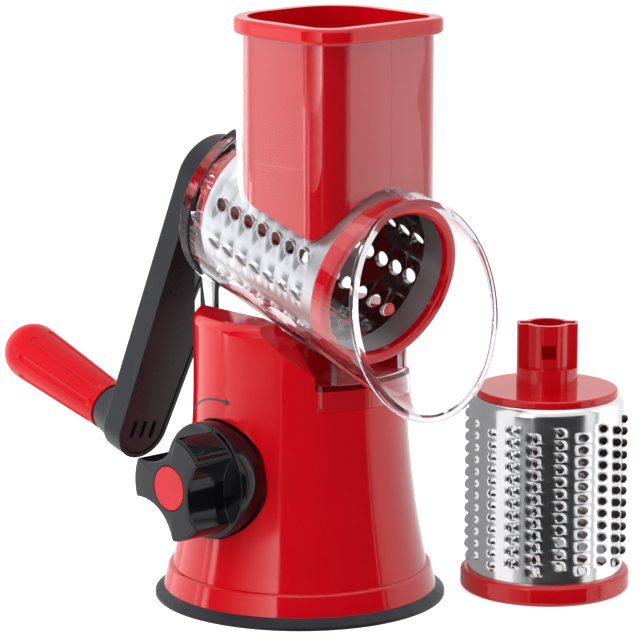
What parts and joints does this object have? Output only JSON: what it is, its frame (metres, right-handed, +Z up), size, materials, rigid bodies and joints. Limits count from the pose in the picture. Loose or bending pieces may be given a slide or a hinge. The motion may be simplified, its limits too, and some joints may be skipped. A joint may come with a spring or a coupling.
{
  "type": "rotary cheese grater",
  "caption": "Hand-cranked drum grater: clear housing with food chute and pusher on a suction-foot column, pull-out steel drum, and a spare fine drum beside it.",
  "frame": {"origin": "centre of the suction foot's underside, on the table", "axes": "+Z up, -Y towards the outlet mouth, +Y towards the crank, -X towards the locking knob"},
  "size_m": [0.2069, 0.2874, 0.2665],
  "materials": {
    "red_plastic": "glossy moulded plastic",
    "clear_plastic": "clear moulded plastic",
    "steel_sheet": "polished sheet",
    "steel": "plain bright steel",
    "black_plastic": "satin moulded plastic",
    "knob_plastic": "glossy moulded plastic",
    "rubber": "matt rubber",
    "white_plastic": "plain bearing plastic"
  },
  "bodies": {
    "base": {"column": "red_plastic", "skirt": "red_plastic", "suction_pad": "rubber", "bottom_plate": "black_plastic", "bottom_plate_screws": "steel", "near_bush": "white_plastic", "far_bush": "white_plastic"},
    "knob": {"knob": "knob_plastic", "knob_cap": "red_plastic", "knob_screw": "steel", "cam_shaft": "steel", "shaft_clip": "steel"},
    "pull_rod": {"pull_rod": "white_plastic", "stem_pin": "steel", "pad_stem": "steel"},
    "housing": {"housing": "clear_plastic"},
    "pusher": {"pusher": "red_plastic"},
    "crank": {"crank_arm": "black_plastic", "crank_arm_cover": "black_plastic", "crank_spindle": "black_plastic", "spindle_screw": "steel", "grip_axle": "steel", "axle_washer": "steel", "axle_nut": "steel"},
    "grip": {"grip": "red_plastic", "grip_cap": "red_plastic"},
    "drum": {"drum_shell": "steel_sheet", "drum_ring": "red_plastic", "drum_hub": "red_plastic"},
    "spare_drum": {"spare_drum_shell": "steel_sheet", "spare_drum_ring": "red_plastic", "spare_drum_hub": "red_plastic"}
  },
  "joints": [
    {"name": "housing_lift", "type": "slide", "parent": "base", "child": "housing", "axis": [0, 0, 1], "range_m": [0, 0.08]},
    {"name": "knob_turn", "type": "hinge", "parent": "base", "child": "knob", "pos_m": [-0.06, 0, 0.0614], "axis": [1, 0, 0], "range_deg": [0, 90]},
    {"name": "pad_pull", "type": "slide", "parent": "base", "child": "pull_rod", "axis": [0, 0, 1], "range_m": [0, 0.004], "deforming": ["suction_pad"]},
    {"name": "pusher_lift", "type": "slide", "parent": "housing", "child": "pusher", "axis": [0, 0, 1], "range_m": [0, 0.16]},
    {"name": "crank_turn", "type": "hinge", "parent": "housing", "child": "crank", "pos_m": [0, 0.05518, 0.18402], "axis": [0, 0.9613, 0.2756], "continuous": true},
    {"name": "grip_spin", "type": "hinge", "parent": "crank", "child": "grip", "pos_m": [-0.02235, 0.13233, 0.0782], "axis": [0, 0.9613, 0.2756], "continuous": true},
    {"name": "drum_pull", "type": "slide", "parent": "crank", "child": "drum", "axis": [0, -0.9613, -0.2756], "range_m": [0, 0.115]},
    {"name": "spare_drum_lift", "type": "slide", "parent": "base", "child": "spare_drum", "axis": [0, 0, 1], "range_m": [0, 0.15]}
  ],
  "couplings": [
    {"joint": "pad_pull", "follows": "knob_turn", "m_per_rad": 0.0025465}
  ]
}
